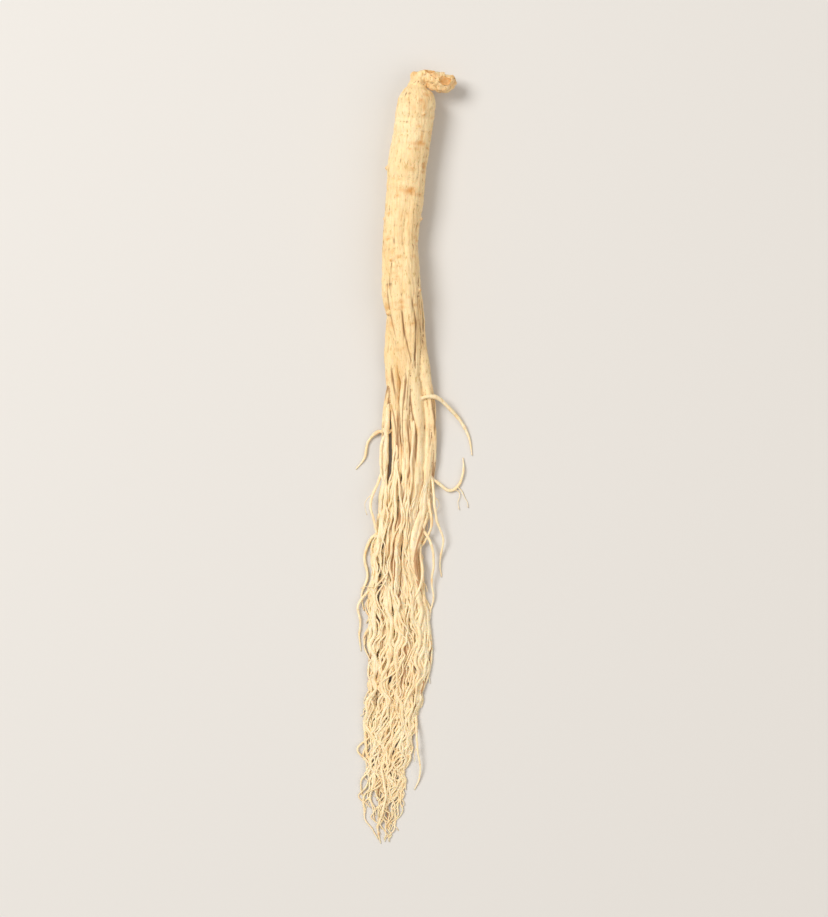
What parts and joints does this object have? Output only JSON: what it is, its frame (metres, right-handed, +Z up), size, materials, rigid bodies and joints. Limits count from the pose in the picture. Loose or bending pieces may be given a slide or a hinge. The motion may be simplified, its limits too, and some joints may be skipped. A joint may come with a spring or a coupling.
{
  "type": "ginseng root",
  "caption": "Whole ginseng root lying flat: knotted rhizome, long wrinkled main root, tapering legs and a spray of fine rootlets, grown as one piece.",
  "frame": {"origin": "centre of the flat spot under the main root that the part rests on", "axes": "+Z up from the surface it lies on, +Y along the root from the rootlet tips to the rhizome, +X to the side that the rhizome bends to"},
  "size_m": [0.0321, 0.2106, 0.0106],
  "materials": {
    "root_skin": "matte"
  },
  "bodies": {
    "root": {"ginseng_root": "root_skin"}
  },
  "joints": []
}
